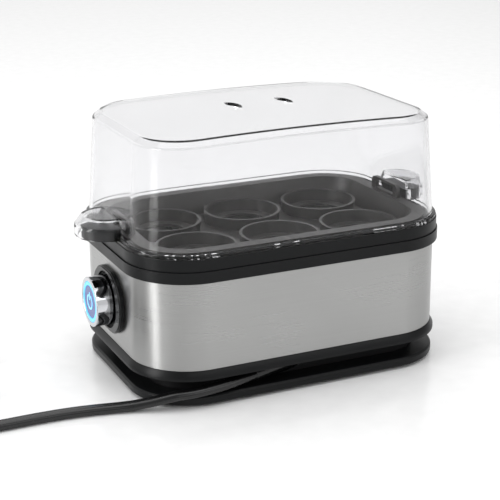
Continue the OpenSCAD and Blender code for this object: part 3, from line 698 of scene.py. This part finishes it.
# %% Hoods joined, then the inside cut
HOOD_X, HOOD_R, HOOD_TOP_R = HALF_L + 0.5, 17.2, 13.5
HOOD_WALL, HOOD_H = 6, 11
for side in (-1, 1):
    boolean(shell, hood("hood", side * HOOD_X, HOOD_R, SEAT_Z, SEAT_Z + HOOD_WALL,
                        SEAT_Z + HOOD_H, HOOD_TOP_R, 1.2), "UNION")
    boolean(hollow, hood("hood_hollow", side * HOOD_X, HOOD_R - LID_WALL, SEAT_Z - 1,
                         SEAT_Z + HOOD_WALL, SEAT_Z + HOOD_H - LID_WALL,
                         HOOD_TOP_R - LID_WALL, 0.8), "UNION")
boolean(shell, hollow, "DIFFERENCE")
print("lid shell", len(shell.data.polygons), "faces")

# %% [markdown]
# ## The steam slots
# Two leaf-shaped slots let the steam out. A leaf is what two overlapping drums share, so the
# cutter is the intersection of two drums. Its top is widened a little, because a mould
# only lets go of walls that lean.

# %% Steam slots
VENT_W, VENT_L, VENT_Y, VENT_TURN = 5, 14, 10, math.radians(12)
VENT_MIDDLES = (-11, 19)
VENT_DRAFT = 1.2
DRUM_SIDES, DRUM_DEPTH = 160, 5


def draft(piece, centre, share):
    """Widen the top of a cutter, so that the slot's walls lean as a mould's do."""
    deselect()
    for vertex in piece.data.vertices:
        vertex.select = vertex.co.z > centre[2] - 0.1 * MM
    only(piece)
    bpy.ops.object.mode_set(mode="EDIT")
    bpy.ops.mesh.select_mode(type="VERT")
    bpy.ops.transform.resize(value=(share, share, 1), center_override=centre)
    bpy.ops.object.mode_set(mode="OBJECT")


vent_r = (VENT_L ** 2 + VENT_W ** 2) / (4 * VENT_W)
for middle in VENT_MIDDLES:
    leaf = []
    for side in (-1, 1):
        offset = side * (vent_r - VENT_W / 2)
        deselect()
        bpy.ops.mesh.primitive_cylinder_add(
            vertices=DRUM_SIDES, radius=vent_r * MM, depth=DRUM_DEPTH * MM,
            location=((middle + offset * math.cos(VENT_TURN)) * MM,
                      (VENT_Y + offset * math.sin(VENT_TURN)) * MM, SLANT_TOP * MM))
        leaf.append(bpy.context.object)
        bpy.ops.object.transform_apply(location=True)
    boolean(leaf[0], leaf[1], "INTERSECT")
    draft(leaf[0], (middle * MM, VENT_Y * MM, (SLANT_TOP + DRUM_DEPTH / 2) * MM), VENT_DRAFT)
    boolean(shell, leaf[0], "DIFFERENCE")
print("slots", len(VENT_MIDDLES))

# %% [markdown]
# ## The lid's crown
# The top rises towards its middle, so that drops of steam run to the edge. The lid is sliced
# across its length, so that there are points to move, and each is lifted by an arch. The
# lift fades out down the walls, and the crown stops a hair below the maker's box. Cutting
# may list the same points and faces in another order each time, and that order steers
# how clear plastic is shaded, so they are sorted by place before the lid is finished.

# %% Crown
CROWN = LID_TOP - SLANT_TOP - 0.02
CROWN_FOOT = 105
SLICED_HALF, ARCHED_HALF = HALF_L - 9, HALF_L - 8
slices = 44
only(shell)
bpy.ops.object.mode_set(mode="EDIT")
for k in range(1, slices):
    bpy.ops.mesh.select_all(action="SELECT")
    bpy.ops.mesh.bisect(plane_co=((2 * k / slices - 1) * SLICED_HALF * MM, 0, 0),
                        plane_no=(1, 0, 0))
bpy.ops.object.mode_set(mode="OBJECT")
for vertex in shell.data.vertices:
    x, z = vertex.co.x / MM, vertex.co.z / MM
    share = max(0.0, min(1.0, (z - CROWN_FOOT) / (SLANT_Z - CROWN_FOOT)))
    arch = max(0.0, 1 - (x / ARCHED_HALF) ** 2)
    vertex.co.z += CROWN * arch * share * share * MM


# %% Points and faces in a fixed order
def in_order(piece):
    """Rebuild the mesh with its points sorted by place, and its faces by their points."""
    mesh = piece.data
    points = [tuple(vertex.co) for vertex in mesh.vertices]
    order = sorted(range(len(points)), key=points.__getitem__)
    rank = {old: new for new, old in enumerate(order)}
    faces = []
    for face in mesh.polygons:
        loop = [rank[index] for index in face.vertices]
        first = loop.index(min(loop))
        faces.append(loop[first:] + loop[:first])
    mesh.clear_geometry()
    mesh.from_pydata([points[index] for index in order], [], sorted(faces))


in_order(shell)
settle(shell, "lid", CLEAR, ["lid"], smooth=28, flip=False)

# %% [markdown]
# ## The pieces that stay as the maker drew them
# Inner pieces and fasteners have the right shape already, so they only get their finish.

# %% Finishes for the rest
KEPT = {
    "base_screws": ZINC, "housing_screws": ZINC, "strap_nuts": ZINC, "clamp_screws": ZINC,
    "dish_seal": SEAL, "heating_rod": SHEATH_METAL, "rod_strap": ZINC,
    "thermostat": PHENOLIC, "thermal_fuse": SLEEVE, "heat_shield": ALUMINIUM,
    "terminal_block": NYLON, "cord_clamp": BLACK, "inner_lead": SHEATH,
    "live_wire": BROWN_WIRE, "neutral_wire": BLUE_WIRE, "surround_nut": BLACK,
    "switch_bracket": ZINC, "switch_body": GLOSS_BLACK, "led_board": BOARD, "leds": LENS,
    "return_spring": SPRING, "button_core": BLACK, "power_mark": LIT_MARK}
for name, material in KEPT.items():
    kept = bpy.data.objects[name]
    for place in range(len(kept.material_slots)):
        kept.material_slots[place].material = material
print("kept pieces", len(KEPT))

# %% [markdown]
# ## Floor and light
# A pale board under the cooker, a wide soft box above, a narrow one off the left end that
# draws the bright line on the steel's corner, and a long one in front for the black rings.

# %% Floor
FLOOR_SIZE, FLOOR_Z = 8, -0.0002
deselect()
bpy.ops.mesh.primitive_plane_add(size=FLOOR_SIZE, location=(0, 2, FLOOR_Z))
floor = bpy.context.object
floor.name = "floor"
bpy.ops.object.transform_apply(location=True, scale=True)
floor_material, floor_shader = finish("board_white_satin", "#F4F4F4", 0.16)
speckle = grain(floor_material, 12, detail=2)
tint(floor_material, floor_shader, speckle.outputs["Fac"], "#F2F2F2", "#F6F6F6")
floor.data.materials.append(floor_material)
print("floor", FLOOR_SIZE, "m square")


# %% Lights
def soft_box(name, place, aim, size, power):
    """A rectangular lamp in watts that faces the aim."""
    light = bpy.data.lights.new(name, "AREA")
    light.shape = "RECTANGLE"
    light.size, light.size_y = size
    light.energy = power
    box = bpy.data.objects.new(name, light)
    bpy.context.scene.collection.objects.link(box)
    box.location = place
    box.rotation_euler = (Vector(aim) - Vector(place)).to_track_quat("-Z", "Y").to_euler()


soft_box("top_box", (0.1, 0.1, 1.6), aim=(0, 0, 0), size=(1.8, 1.8), power=16)
soft_box("left_box", (-1.5, -0.12, 0.5), aim=(0, 0, 0.05), size=(0.46, 0.9), power=11)
soft_box("front_box", (0.3, -1.7, 0.95), aim=(0, 0, 0.05), size=(2.4, 0.5), power=5)

# %% [markdown]
# ## The room
# The room around the cooker is white, with two grey flags: one behind the camera and one
# past the right end. The steel mirrors the room, so each flag draws one soft dark column
# on a rounded corner, which is how a studio makes metal look round. The flags are stops of
# a colour ramp that follows the bearing: -180 degrees is the left, -90 the front, 0 the
# right and 90 the back.

# %% Room: (bearing in degrees, brightness)
ROOM = [(-180, 0.95), (-158, 0.95), (-140, 0.38), (-98, 0.42), (-72, 0.86), (-45, 0.84),
        (-8, 0.42), (25, 0.42), (60, 0.9), (180, 0.95)]
world = bpy.data.worlds.new("studio")
world.use_nodes = True
nodes, links = world.node_tree.nodes, world.node_tree.links
way = nodes.new("ShaderNodeTexCoord")
bearing = nodes.new("ShaderNodeTexGradient")
bearing.gradient_type = "RADIAL"
links.new(way.outputs["Generated"], bearing.inputs["Vector"])
walls = nodes.new("ShaderNodeValToRGB")
stops = walls.color_ramp.elements
stops.remove(stops[1])
for number, (angle, level) in enumerate(ROOM):
    stop = stops[0] if number == 0 else stops.new(angle / 360 + 0.5)
    stop.position = angle / 360 + 0.5
    stop.color = (level, level, level, 1)
links.new(bearing.outputs["Color"], walls.inputs["Fac"])
background = nodes["Background"]
links.new(walls.outputs["Color"], background.inputs["Color"])
bpy.context.scene.world = world
bpy.context.scene.view_settings.view_transform = "Standard"
print("room stops", len(stops))
